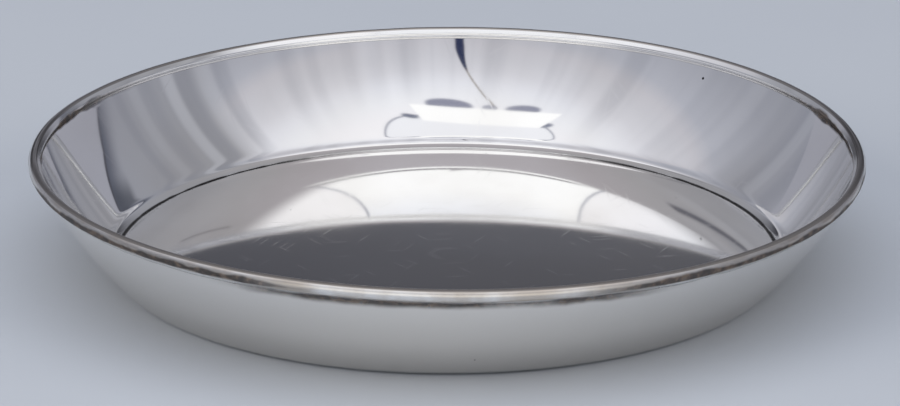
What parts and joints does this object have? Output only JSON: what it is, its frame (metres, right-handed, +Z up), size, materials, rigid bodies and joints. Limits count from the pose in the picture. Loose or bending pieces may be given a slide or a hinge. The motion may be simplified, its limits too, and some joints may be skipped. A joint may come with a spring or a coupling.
{
  "type": "bottle coaster",
  "caption": "Shallow round polished-silver bottle coaster: a flat floor, a flared wall and a soldered round wire along the lip.",
  "frame": {"origin": "centre of the underside, on the surface that the coaster stands on", "axes": "+Z up along the dish's axis, +Y away from the picture's viewer, +X to the viewer's right"},
  "size_m": [0.14, 0.14, 0.0193],
  "materials": {
    "polished_silver": "mirror polished, with fine wiping scratches",
    "lip_silver": "polished and worn, with tarnish left in the low places",
    "tarnished_solder": "dull, brown-grey tarnish"
  },
  "bodies": {
    "root": {"dish": "polished_silver", "lip_wire": "lip_silver", "lip_solder": "tarnished_solder"}
  },
  "joints": []
}
